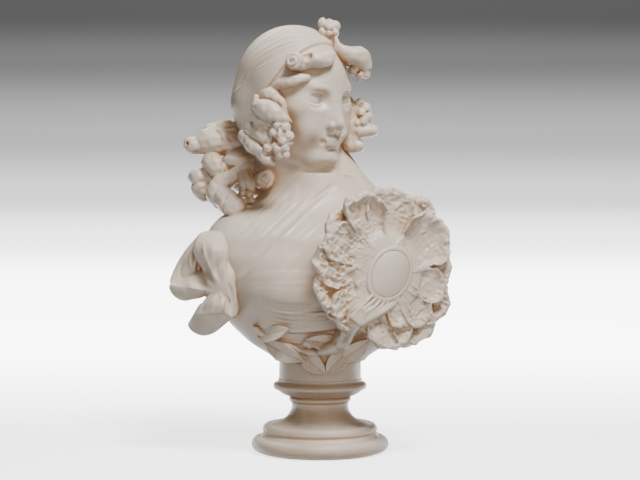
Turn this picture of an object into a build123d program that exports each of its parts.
"""A marble bust of a veiled woman on a turned socle.

Frame: millimetres, +Z up, the front of the bust faces -Y, and +X is to the right of someone who faces it.
The origin is the centre of the socle's underside. The socle's axis is Z, and the bust turns on it.

The stack, from the bottom: felt disc, turned foot, mortar bed, turned drum, lead shim, carved bust. An iron rod
set in the bust runs down through the socle to a nut in a recess under the foot, which the felt covers.
"""

import math
import os

from build123d import *

os.makedirs("parts", exist_ok=True)

# ---- Turned socle -------------------------------------------------------------------------------------------
FELT = 1.5  # thickness of the felt disc
FOOT_TOP = 76.0  # top face of the foot
MORTAR = 1.0  # bed between foot and drum
DRUM_TOP = 126.0
SHIM = 1.0  # lead shim that the bust turns on
FOOT_RADIUS = 95.0  # lower torus, the widest ring
UPPER_TORUS_RADIUS = 79.5
NECK_RADIUS = 39.5  # narrowest part of the foot's spool
ASTRAGAL_RADIUS = 43.0
COLLAR_RADIUS = 65.0
DRUM_RADIUS = 57.0

# ---- Rod and nut --------------------------------------------------------------------------------------------
ROD_RADIUS = 6.0
ROD_CLEARANCE = 0.5
ROD_SET_DEPTH = 90.0  # length of rod set in the bust
PLUG_RADIUS = 11.0  # plaster round the rod
RECESS_RADIUS = 24.0
RECESS_DEPTH = 30.0
WASHER_RADIUS = 20.0
WASHER_THICKNESS = 2.5
NUT_ACROSS_FLATS = 19.0
NUT_THICKNESS = 10.0
ROD_TAIL = 6.0  # rod showing under the nut

# ---- Torso --------------------------------------------------------------------------------------------------
TORSO_WIDTH = 318.0
TORSO_DEPTH = 184.0
TORSO_HEIGHT = 236.0  # from the seat to the root of the neck
BREAST_RADIUS = 58.0
HOLLOW_DEPTH = 62.0  # how far the back is scooped out
PILLAR_RADIUS = 34.0  # support left standing in the hollow

# ---- Neck and head ------------------------------------------------------------------------------------------
NECK_WIDTH = 92.0
HEAD_WIDTH = 136.0
HEAD_LENGTH = 172.0  # brow to nape
HEAD_HEIGHT = 164.0  # cranium only, the jaw hangs below it
HEAD_TURN = 47.0  # degrees to the right of the viewer
HEAD_NOD = 9.0  # degrees down
HEAD_CENTRE = Vector(-38, 14, 507)
VEIL = 4.0  # thickness of veil and hair over the cranium

# ---- Flower on the left breast ------------------------------------------------------------------------------
FLOWER_X, FLOWER_Z = 89.0, 246.0
FLOWER_STAND_OFF = 36.0  # from the chest to the face of the medallion
FLOWER_TURN = 24.0  # degrees the flower faces to the right
FLOWER_LIFT = 4.0  # degrees it faces up
PETAL_THICKNESS = 9.0
PETAL_ROOT = 26.0  # radius where the petals leave the core
PETAL_STEP = 30.0  # degrees that each petal takes
# Angle of each petal, counter-clockwise from straight right, and its reach. The stem has the place at 240.
PETALS = {
    0: 94, 30: 104, 60: 106, 90: 112, 120: 112, 150: 96, 180: 104, 210: 102, 270: 94, 300: 96, 330: 98,
}
MEDALLION_HALF_WIDTH, MEDALLION_HALF_HEIGHT = 27.0, 31.5
MEDALLION_RIM = 9.0
MEDALLION_LEAN = -20.0  # degrees from upright
CORE_RADIUS = 33.0  # of the boss behind the medallion, which its rim covers
STEM_TOP_RADIUS, STEM_FOOT_RADIUS = 13.0, 8.0

BUST_SEAT = DRUM_TOP + SHIM

# Torso sections: share of the height, then half width, half depth and middle as shares of the driving sizes.
TORSO_SECTIONS = [
    (0.00, 0.40, 0.58, 0.00),
    (0.06, 0.52, 0.68, 0.00),
    (0.20, 0.76, 0.84, 0.00),
    (0.42, 0.93, 0.98, -0.01),
    (0.62, 1.00, 1.00, 0.00),
    (0.75, 0.95, 0.90, 0.02),
    (0.83, 0.82, 0.76, 0.04),
    (0.92, 0.63, 0.60, 0.07),
    (1.00, 0.44, 0.50, 0.09),
]


def save(builder, name):
    """Labels a finished piece and writes its STEP file."""
    builder.part.label = name
    export_step(builder.part, f"parts/{name}.step")
    solids = builder.part.solids()
    print(f"{name}: {len(solids)} solid(s), {sum(s.volume for s in solids):.0f} mm3")


def egg(half_x, half_y, half_z):
    """An ellipsoid about the origin."""
    with BuildPart(mode=Mode.PRIVATE) as body:
        Sphere(half_z)
        scale(by=(half_x / half_z, half_y / half_z, 1))
    return body.part


def roll(length, radius, far_radius):
    """A rolled lock of hair along Z: round ends of two radii, and a straight flank between them."""
    with BuildPart(mode=Mode.PRIVATE) as body:
        with BuildSketch(Plane.XZ):
            with BuildLine():
                low = ThreePointArc(
                    (0, -radius), (radius * math.sqrt(0.5), -radius * math.sqrt(0.5)), (radius, 0)
                )
                flank = Line(low @ 1, (far_radius, length))
                high = ThreePointArc(
                    flank @ 1,
                    (far_radius * math.sqrt(0.5), length + far_radius * math.sqrt(0.5)),
                    (0, length + far_radius),
                )
                Line(high @ 1, low @ 0)
            make_face()
        revolve(axis=Axis.Z)
    return body.part


def along(start, end):
    """A place at start whose Z points at end, and the distance between them."""
    run = Vector(end) - Vector(start)
    return Plane(origin=start, z_dir=run), run.length


def torso_section(z):
    """Half width, half depth and middle of the torso at a height, between the sections that are lofted."""
    share = min(max((z - BUST_SEAT) / TORSO_HEIGHT, 0), 1)
    for lower, upper in zip(TORSO_SECTIONS, TORSO_SECTIONS[1:]):
        if share <= upper[0]:
            t = (share - lower[0]) / (upper[0] - lower[0])
            width, depth, middle = (a + (b - a) * t for a, b in zip(lower[1:], upper[1:]))
            return width * TORSO_WIDTH / 2, depth * TORSO_DEPTH / 2, middle * TORSO_DEPTH
    raise ValueError(z)


def on_chest(x, z, out=0.0):
    """A point on the front of the torso, moved out along the surface's level normal, and that normal."""
    half_width, half_depth, middle = torso_section(z)
    across = max(min(x / half_width, 0.995), -0.995)
    y = middle - half_depth * math.sqrt(1 - across**2)
    normal = Vector(x / half_width**2, (y - middle) / half_depth**2, 0).normalized()
    return Vector(x, y, z) + normal * out, normal


# ---- Socle: a foot and a drum, both turned ------------------------------------------------------------------
with BuildPart() as foot:
    with BuildSketch(Plane.XZ):
        with BuildLine():
            lower = ThreePointArc(
                (FOOT_RADIUS - 8, FELT), (FOOT_RADIUS, FELT + 9.5), (FOOT_RADIUS - 9, FELT + 20)
            )
            step = Polyline(
                lower @ 1,
                (FOOT_RADIUS - 13, FELT + 20),
                (UPPER_TORUS_RADIUS - 1.5, FELT + 24),
                (UPPER_TORUS_RADIUS - 1.5, FELT + 25.5),
            )
            upper = ThreePointArc(
                step @ 1, (UPPER_TORUS_RADIUS, FELT + 29), (UPPER_TORUS_RADIUS - 10, FELT + 37)
            )
            shoulder = ThreePointArc(
                upper @ 1,
                (UPPER_TORUS_RADIUS - 20, FELT + 40.2),
                (UPPER_TORUS_RADIUS - 28, FELT + 43),
            )
            scotia = Spline(
                shoulder @ 1,
                (NECK_RADIUS + 4.5, FELT + 50),
                (NECK_RADIUS + 0.6, FELT + 58),
                (NECK_RADIUS, FOOT_TOP - 8),
            )
            astragal_start = Line(scotia @ 1, (ASTRAGAL_RADIUS - 1.5, FOOT_TOP - 6))
            astragal = ThreePointArc(
                astragal_start @ 1, (ASTRAGAL_RADIUS, FOOT_TOP - 3), (ASTRAGAL_RADIUS - 1.5, FOOT_TOP)
            )
            Polyline(astragal @ 1, (0, FOOT_TOP), (0, FELT), lower @ 0)
        make_face()
    revolve(axis=Axis.Z)
    with Locations(Plane(origin=(0, 0, FELT), z_dir=(0, 0, -1))):
        CounterBoreHole(ROD_RADIUS + ROD_CLEARANCE, RECESS_RADIUS, RECESS_DEPTH)
save(foot, "socle_foot")

with BuildPart() as drum:
    collar_base = FOOT_TOP + MORTAR
    with BuildSketch(Plane.XZ):
        with BuildLine():
            cyma = ThreePointArc(
                (ASTRAGAL_RADIUS - 1.0, collar_base),
                (COLLAR_RADIUS - 12.5, collar_base + 3.6),
                (COLLAR_RADIUS - 6, collar_base + 9),
            )
            torus = ThreePointArc(
                (COLLAR_RADIUS - 3.5, collar_base + 9.6),
                (COLLAR_RADIUS, collar_base + 14.5),
                (COLLAR_RADIUS - 3.5, collar_base + 19),
            )
            Line(cyma @ 1, torus @ 0)
            cavetto = ThreePointArc(
                (COLLAR_RADIUS - 4.5, collar_base + 19),
                (DRUM_RADIUS + 1.6, collar_base + 20.8),
                (DRUM_RADIUS + 1.2, collar_base + 24),
            )
            Line(torus @ 1, cavetto @ 0)
            Polyline(
                cavetto @ 1,
                (DRUM_RADIUS, collar_base + 24.6),
                (DRUM_RADIUS, DRUM_TOP - 0.8),
                (DRUM_RADIUS - 0.8, DRUM_TOP),
                (0, DRUM_TOP),
                (0, collar_base),
                cyma @ 0,
            )
        make_face()
    revolve(axis=Axis.Z)
    with Locations((0, 0, DRUM_TOP)):
        Hole(ROD_RADIUS + ROD_CLEARANCE)
save(drum, "socle_drum")

with BuildPart() as mortar_bed:
    with BuildSketch(Plane.XY.offset(FOOT_TOP)):
        Circle(ASTRAGAL_RADIUS - 3)
        Circle(ROD_RADIUS + 2 * ROD_CLEARANCE, mode=Mode.SUBTRACT)
    extrude(amount=MORTAR)
save(mortar_bed, "mortar_bed")

with BuildPart() as lead_shim:
    with BuildSketch(Plane.XY.offset(DRUM_TOP)):
        Circle(DRUM_RADIUS - 6)
        Circle(ROD_RADIUS + ROD_CLEARANCE, mode=Mode.SUBTRACT)
    extrude(amount=SHIM)
save(lead_shim, "lead_shim")

with BuildPart() as felt_disc:
    with BuildSketch():
        Circle(FOOT_RADIUS - 12)
    extrude(amount=FELT)
save(felt_disc, "felt_disc")

# ---- Rod, plaster plug, washer and nut ----------------------------------------------------------------------
WASHER_SEAT = FELT + RECESS_DEPTH
NUT_TOP = WASHER_SEAT - WASHER_THICKNESS
ROD_BOTTOM = NUT_TOP - NUT_THICKNESS - ROD_TAIL
ROD_TOP = BUST_SEAT + ROD_SET_DEPTH

with BuildPart() as tie_rod:
    with BuildSketch(Plane.XY.offset(ROD_BOTTOM)):
        Circle(ROD_RADIUS)
    extrude(amount=ROD_TOP - ROD_BOTTOM)
    chamfer(tie_rod.edges().group_by(Axis.Z)[0], 1)
    chamfer(tie_rod.edges().group_by(Axis.Z)[-1], 1)
save(tie_rod, "tie_rod")

with BuildPart() as washer:
    with BuildSketch(Plane.XY.offset(NUT_TOP)):
        Circle(WASHER_RADIUS)
        Circle(ROD_RADIUS + ROD_CLEARANCE, mode=Mode.SUBTRACT)
    extrude(amount=WASHER_THICKNESS)
save(washer, "plate_washer")

with BuildPart() as nut:
    with BuildSketch(Plane.XY.offset(NUT_TOP - NUT_THICKNESS)):
        RegularPolygon(NUT_ACROSS_FLATS / 2, 6, major_radius=False)
        Circle(ROD_RADIUS, mode=Mode.SUBTRACT)
    extrude(amount=NUT_THICKNESS)
    with BuildSketch(Plane.XY.offset(NUT_TOP - NUT_THICKNESS)) as nut_crown:
        Circle(NUT_ACROSS_FLATS / 2 * 1.03)
    extrude(amount=NUT_THICKNESS, taper=-12, mode=Mode.INTERSECT)
save(nut, "hex_nut")

with BuildPart() as plug:
    with BuildSketch(Plane.XY.offset(BUST_SEAT)):
        Circle(PLUG_RADIUS)
    extrude(amount=ROD_SET_DEPTH + 4)
    add(tie_rod.part, mode=Mode.SUBTRACT)
save(plug, "plaster_plug")

# ---- Torso: lofted sections, breasts, scooped back with its pillar -------------------------------------------
with BuildPart() as torso:
    for share, width, depth, middle in TORSO_SECTIONS:
        with BuildSketch(Plane.XY.offset(BUST_SEAT + share * TORSO_HEIGHT)):
            with Locations((0, middle * TORSO_DEPTH)):
                Ellipse(width * TORSO_WIDTH / 2, depth * TORSO_DEPTH / 2)
    loft()
    for breast_x in (-57, 66):
        seat, _ = on_chest(breast_x, BUST_SEAT + 0.47 * TORSO_HEIGHT, -BREAST_RADIUS * 0.62)
        with Locations(seat):
            Sphere(BREAST_RADIUS)
    with Locations((0, TORSO_DEPTH / 2 + 8, BUST_SEAT + 0.44 * TORSO_HEIGHT)):
        add(egg(TORSO_WIDTH * 0.36, HOLLOW_DEPTH + 8, TORSO_HEIGHT * 0.36), mode=Mode.SUBTRACT)
    pillar_foot = BUST_SEAT + 0.02 * TORSO_HEIGHT
    with BuildSketch(Plane.XY.offset(pillar_foot)):
        with Locations((0, TORSO_DEPTH * 0.14)):
            Circle(PILLAR_RADIUS)
    extrude(amount=TORSO_HEIGHT * 0.72, taper=3)
    add(plug.part, mode=Mode.SUBTRACT)
    with BuildSketch(Plane.XY.offset(BUST_SEAT)):
        Circle(ROD_RADIUS + ROD_CLEARANCE)
    extrude(amount=ROD_SET_DEPTH, mode=Mode.SUBTRACT)
save(torso, "torso")

# ---- Head, neck and veil ------------------------------------------------------------------------------------
turn, nod = math.radians(HEAD_TURN), math.radians(HEAD_NOD)
HEAD_PLACE = Plane(
    origin=HEAD_CENTRE,
    x_dir=(math.cos(turn), math.sin(turn), 0),
    z_dir=(math.sin(turn) * math.sin(nod), -math.cos(turn) * math.sin(nod), math.cos(nod)),
)  # X to the right of the face as seen, -Y out of the face, Z up


def on_head(angle, height, out=0.0):
    """A point round the head: an angle from the face, positive to the viewer's right, and a height above its middle."""
    round_share = math.sqrt(max(1 - (2 * height / HEAD_HEIGHT) ** 2, 0)) if height > 0 else 1
    a = math.radians(angle)
    return HEAD_PLACE.from_local_coords(
        Vector(
            (HEAD_WIDTH / 2 * round_share + out) * math.sin(a),
            -(HEAD_LENGTH / 2 * round_share + out) * math.cos(a),
            height,
        )
    )


with BuildPart() as head:
    with Locations(HEAD_PLACE):
        add(egg(HEAD_WIDTH / 2, HEAD_LENGTH / 2, HEAD_HEIGHT / 2))
    with Locations(HEAD_PLACE * Location((0, -HEAD_LENGTH * 0.17, -HEAD_HEIGHT * 0.31))):
        add(egg(HEAD_WIDTH * 0.37, HEAD_LENGTH * 0.32, HEAD_HEIGHT * 0.38))
    with Locations(HEAD_PLACE * Location((0, -HEAD_LENGTH * 0.48, -HEAD_HEIGHT * 0.22), (8, 0, 0))):
        add(egg(HEAD_WIDTH * 0.08, HEAD_LENGTH * 0.07, HEAD_HEIGHT * 0.15))
    with Locations(HEAD_PLACE * Location((0, -HEAD_LENGTH * 0.41, -HEAD_HEIGHT * 0.59))):
        add(egg(HEAD_WIDTH * 0.14, HEAD_LENGTH * 0.09, HEAD_HEIGHT * 0.09))
save(head, "head")

NECK_FOOT = Vector(2, 8, BUST_SEAT + 0.86 * TORSO_HEIGHT)
NECK_PLACE, neck_length = along(NECK_FOOT, HEAD_CENTRE + Vector(14, 4, -HEAD_HEIGHT * 0.3))
with BuildPart() as neck:
    with BuildSketch(Plane.XZ):
        with BuildLine():
            flank = Spline(
                (NECK_WIDTH * 0.72, 0), (NECK_WIDTH * 0.51, neck_length * 0.45), (NECK_WIDTH / 2, neck_length)
            )
            Polyline(flank @ 1, (0, neck_length), (0, 0), flank @ 0)
        make_face()
    revolve(axis=Axis.Z)
neck_raw = NECK_PLACE.location * neck.part
with BuildPart() as neck:
    add(neck_raw)
    add(torso.part, mode=Mode.SUBTRACT)
    add(head.part, mode=Mode.SUBTRACT)
save(neck, "neck")

with BuildPart() as hood:
    with Locations(HEAD_PLACE):
        add(egg(HEAD_WIDTH / 2 + VEIL, HEAD_LENGTH / 2 + VEIL, HEAD_HEIGHT / 2 + VEIL))
    hood_edge = HEAD_PLACE.from_local_coords(Vector(0, -HEAD_LENGTH * 0.30, HEAD_HEIGHT * 0.36))
    hood_back = HEAD_PLACE.from_local_coords(Vector(0, 0.9, 0.44)) - HEAD_CENTRE
    split(bisect_by=Plane(origin=hood_edge, z_dir=hood_back), keep=Keep.TOP)
    add(head.part, mode=Mode.SUBTRACT)
    add(neck.part, mode=Mode.SUBTRACT)
save(hood, "veil_hood")

carved = [torso.part, head.part, neck.part, hood.part]


def boxes_meet(one, other):
    a, b = one.bounding_box(), other.bounding_box()
    return all(
        low <= high
        for low, high in (
            (a.min.X, b.max.X), (b.min.X, a.max.X),
            (a.min.Y, b.max.Y), (b.min.Y, a.max.Y),
            (a.min.Z, b.max.Z), (b.min.Z, a.max.Z),
        )
    )


def carve(raw, name, from_pieces=carved):
    """Cuts a carving back to the faces of the pieces it grows from, keeps its main solid and saves it."""
    with BuildPart() as whole:
        add(raw)
        add([piece for piece in from_pieces if boxes_meet(raw, piece)], mode=Mode.SUBTRACT)
    with BuildPart() as piece:
        add(whole.solids().sort_by(SortBy.VOLUME)[-1])
    save(piece, name)
    carved.append(piece.part)
    return piece


def carve_roll(name, start, end, radius, far_radius):
    """A rolled lock between two points."""
    place, length = along(start, end)
    return carve(place.location * roll(length, radius, far_radius), name)


# ---- Hair that frames the face ------------------------------------------------------------------------------
CROWN_DROP = 20.0  # from the top of the head down to the rosette
CROWN_UP = HEAD_HEIGHT / 2 - CROWN_DROP
# Each lock runs between two places on the head (angle from the face, height, stand-off) and has two radii.
FACE_LOCKS = {
    "forehead_lock_left": ((-6, 42, -1), (-34, 26, 3), 12, 12),
    "forehead_ring_curl": ((-43, 24, 3), (-41, 18, 12), 13, 11),
    "forehead_lock_right": ((14, 44, -2), (42, 20, 16), 10, 15),
    "crown_rosette": ((14, CROWN_UP, 6), (14, CROWN_UP + 8, 34), 11, 14),
    "temple_lock": ((-70, 6, 4), (-60, -24, 8), 10, 12),
    "temple_roll": ((-76, -26, 8), (-55, -44, 14), 11, 13),
    "temple_curl_front": ((-52, -62, 10), (-50, -86, 8), 12, 9),
    "temple_curl_back": ((-80, -54, -8), (-72, -88, -8), 13, 10),
    "cheek_curl_upper": ((50, -8, 6), (60, -32, 18), 10, 13),
    "cheek_curl_middle": ((62, -42, 18), (56, -64, 20), 12, 12),
    "cheek_curl_lower": ((60, -74, 14), (56, -92, 10), 12, 9),
}
for lock_name, (start, end, radius, far_radius) in FACE_LOCKS.items():
    carve_roll(lock_name, on_head(*start), on_head(*end), radius, far_radius)

# ---- Ringlets that fall behind the right shoulder -----------------------------------------------------------
# The mass of hair at the nape carries the rolls. Offsets are from the middle of the head.
with BuildPart() as nape_hair:
    with Locations(HEAD_CENTRE + Vector(-46, 30, -104)):
        add(egg(42, 36, 62))
carve(nape_hair.part, "nape_hair")

RINGLETS = {
    "ringlet_upper": ((-66, 30, -68), (-134, 26, -73), 19, 16),
    "ringlet_crown": ((-68, 50, -54), (-120, 46, -51), 13, 11),
    "ringlet_middle": ((-66, 20, -100), (-110, 22, -110), 15, 14),
    "ringlet_outer": ((-84, 36, -122), (-131, 32, -134), 15, 19),
    "ringlet_long_upper": ((-60, 14, -112), (-96, 18, -142), 15, 17),
    "ringlet_long_lower": ((-98, 2, -150), (-84, -46, -187), 16, 11),
    "ringlet_spiral": ((-46, -14, -128), (-40, -34, -132), 13, 10),
    "ringlet_small": ((-66, -10, -152), (-56, -28, -158), 11, 8),
}
for lock_name, (start, end, radius, far_radius) in RINGLETS.items():
    carve_roll(lock_name, HEAD_CENTRE + Vector(start), HEAD_CENTRE + Vector(end), radius, far_radius)

# ---- Bow at the right shoulder ------------------------------------------------------------------------------
BOW_INSET = 37.0  # from the side of the torso to the middle of the knot
BOW_X, BOW_Z = BOW_INSET - TORSO_WIDTH / 2, 232.0
BOW_FACING = -24.0  # degrees the bow faces to the left
knot_seat, _ = on_chest(BOW_X, BOW_Z, 10)
facing = math.radians(BOW_FACING)
bow_out = Vector(math.sin(facing), -math.cos(facing), 0)
bow_across = Vector(math.cos(facing), math.sin(facing), 0)

with BuildPart() as bow_knot:
    with Locations(Plane(origin=knot_seat, x_dir=bow_across, z_dir=(0, 0, 1))):
        add(egg(13, 13, 18))
carve(bow_knot.part, "bow_knot")


def bow_loop(name, lean, length, width, depth):
    """A loop of ribbon from the knot: a teardrop lobe, drawn together to the knot. The block isn't pierced."""
    a = math.radians(lean)
    reach = bow_across * math.cos(a) + Vector(0, 0, math.sin(a))
    root = knot_seat + reach * 4
    with BuildPart() as loop:
        with BuildSketch(Plane(origin=root, x_dir=reach, z_dir=reach.cross(bow_out))) as outline:
            with Locations((length - depth / 2, 0)):
                Circle(depth / 2)
            with Locations((4, 0)):
                Circle(8)
            make_hull()
        extrude(amount=width / 2, both=True)
        with BuildSketch(Plane(origin=root - bow_out * depth, x_dir=reach, z_dir=bow_out)):
            with Locations((length - width * 0.42, 0)):
                Circle(width / 2)
            with Locations((2, 0)):
                Circle(12)
            make_hull()
        extrude(amount=2 * depth, mode=Mode.INTERSECT)
    return carve(loop.part, name)


bow_loop("bow_loop_upper", 127, 92, 84, 46)
bow_loop("bow_loop_lower", 233, 82, 62, 40)

with BuildPart() as bow_tail:
    tail_seat, tail_out = on_chest(BOW_X + 8, BOW_Z - 4, 4)
    with BuildSketch(Plane(origin=tail_seat, x_dir=(0, 0, -1), z_dir=tail_out)):
        with BuildLine():
            Polyline((-20, -8), (22, -4), (30, 10), (6, 20), (-22, 8), (-20, -8))
        make_face()
    extrude(amount=7, both=True)
carve(bow_tail.part, "bow_tail")

# ---- Flower with its medallion ------------------------------------------------------------------------------
flower_seat, _ = on_chest(FLOWER_X, FLOWER_Z, 0)
flower_turn, flower_lift = math.radians(FLOWER_TURN), math.radians(FLOWER_LIFT)
flower_out = Vector(
    math.sin(flower_turn) * math.cos(flower_lift), -math.cos(flower_turn) * math.cos(flower_lift),
    math.sin(flower_lift),
)
FLOWER_PLACE = Plane(
    origin=flower_seat + flower_out * FLOWER_STAND_OFF,
    x_dir=(math.cos(flower_turn), math.sin(flower_turn), 0),
    z_dir=flower_out,
)

with BuildPart() as medallion:
    with Locations(FLOWER_PLACE * Location((0, 0, 0), (0, 0, MEDALLION_LEAN))):
        add(egg(MEDALLION_HALF_WIDTH, MEDALLION_HALF_HEIGHT, PETAL_THICKNESS))
carve(medallion.part, "medallion")

with BuildPart() as medallion_rim:
    with BuildSketch():
        Ellipse(MEDALLION_HALF_WIDTH + MEDALLION_RIM, MEDALLION_HALF_HEIGHT + MEDALLION_RIM)
    extrude(amount=-PETAL_THICKNESS)
    fillet(medallion_rim.edges().group_by(Axis.Z)[-1], PETAL_THICKNESS / 3)
rim_place = FLOWER_PLACE * Location((0, 0, 2), (0, 0, MEDALLION_LEAN))
carve(rim_place * medallion_rim.part, "medallion_rim")

with BuildPart() as flower_core:
    with BuildSketch(Plane.XY.offset(2 - PETAL_THICKNESS)):
        Circle(CORE_RADIUS)
    extrude(amount=-FLOWER_STAND_OFF - 18, taper=4)
carve(FLOWER_PLACE.location * flower_core.part, "flower_core")


def petal_blank(reach):
    """One petal pointing along X: a sector of a saucer, rounded off at its tip."""
    with BuildPart(mode=Mode.PRIVATE) as blank:
        with BuildSketch(Plane.XZ):
            with BuildLine():
                front = ThreePointArc((PETAL_ROOT, -4), (reach * 0.62, 2), (reach, -10))
                back = ThreePointArc(
                    (PETAL_ROOT, -4 - PETAL_THICKNESS),
                    (reach * 0.62, 2 - PETAL_THICKNESS),
                    (reach, -10 - PETAL_THICKNESS * 0.7),
                )
                Line(front @ 0, back @ 0)
                Line(front @ 1, back @ 1)
            make_face()
        revolve(axis=Axis.Z, revolution_arc=PETAL_STEP)
    turned = Rot(0, 0, -PETAL_STEP / 2) * blank.part
    half_tip = reach * math.tan(math.radians(PETAL_STEP / 2)) * 0.84
    with BuildPart(mode=Mode.PRIVATE) as petal:
        add(turned)
        with BuildSketch(Plane.XY.offset(-40)):
            with Locations((reach - half_tip, 0)):
                Circle(half_tip)
            with Locations((PETAL_ROOT - 6, 0)):
                Rectangle(12, 40)
            make_hull()
        extrude(amount=80, mode=Mode.INTERSECT)
    return petal.part


behind_petals = list(carved)  # petals share their straight sides, so they aren't cut from each other
for number, (angle, reach) in enumerate(PETALS.items()):
    place = FLOWER_PLACE * Location((0, 0, 0), (0, 0, angle))
    carve(place * petal_blank(reach), f"petal_{number + 1:02d}", behind_petals)

stem_top = FLOWER_PLACE.from_local_coords(Vector(-24, -44, -16))
stem_foot, _ = on_chest(24, BUST_SEAT + 26, 10)
carve_roll("flower_stem", stem_top, stem_foot, STEM_TOP_RADIUS, STEM_FOOT_RADIUS)

# ---- Laurel spray along the lower edge ----------------------------------------------------------------------
LEAF_THICKNESS = 5.0
LEAF_PROUD = 4.0  # how far a leaf stands off the chest
# Root and tip of each leaf on the chest (X and height above the seat), and its half width.
LEAVES = [
    ((-88, 36), (-42, 44), 8),
    ((-78, 28), (-20, 7), 10),
    ((36, 18), (-20, 30), 9),
    ((30, 6), (66, 34), 9),
]


def leaf_blank(length, half_width):
    """A leaf from the origin along X: two arcs, with thickness both ways."""
    with BuildPart(mode=Mode.PRIVATE) as blank:
        with BuildSketch():
            with BuildLine():
                ThreePointArc((0, 0), (length * 0.45, half_width), (length, 0))
                ThreePointArc((0, 0), (length * 0.45, -half_width), (length, 0))
            make_face()
        extrude(amount=LEAF_THICKNESS, both=True)
    return blank.part


for number, (root, tip, half_width) in enumerate(LEAVES):
    root_point, root_out = on_chest(root[0], BUST_SEAT + root[1], LEAF_PROUD)
    tip_point, tip_out = on_chest(tip[0], BUST_SEAT + tip[1], LEAF_PROUD)
    run = tip_point - root_point
    leaf_out = run.cross(root_out + tip_out).cross(run).normalized()
    leaf_place = Plane(origin=root_point, x_dir=run, z_dir=leaf_out)
    carve(leaf_place.location * leaf_blank(run.length, half_width), f"leaf_{number + 1}")

# The two lowest leaves hang in front of the drum and clear it as the bust turns.
hang_y = -(DRUM_RADIUS + LEAF_THICKNESS + 2)
for name, root_x in (("leaf_5", -24), ("leaf_6", 36)):
    root_point, tip_point = Vector(root_x, hang_y, BUST_SEAT + 12), Vector(8, hang_y, BUST_SEAT - 13)
    run = tip_point - root_point
    leaf_place = Plane(origin=root_point, x_dir=run, z_dir=(0, -1, 0))
    carve(leaf_place.location * leaf_blank(run.length, 10), name)

TWIG_RADIUS = 3.5
TWIG = [(-100, 58), (-72, 30), (-30, 16), (24, 12)]  # X and height above the seat, along the twig
with BuildPart() as laurel_twig:
    with BuildLine() as twig_path:
        Spline(*(on_chest(x, BUST_SEAT + height, 2)[0] for x, height in TWIG))
    with BuildSketch(Plane(origin=twig_path.line @ 0, z_dir=twig_path.line % 0)):
        Circle(TWIG_RADIUS)
    sweep(path=twig_path.line)
carve(laurel_twig.part, "laurel_twig")
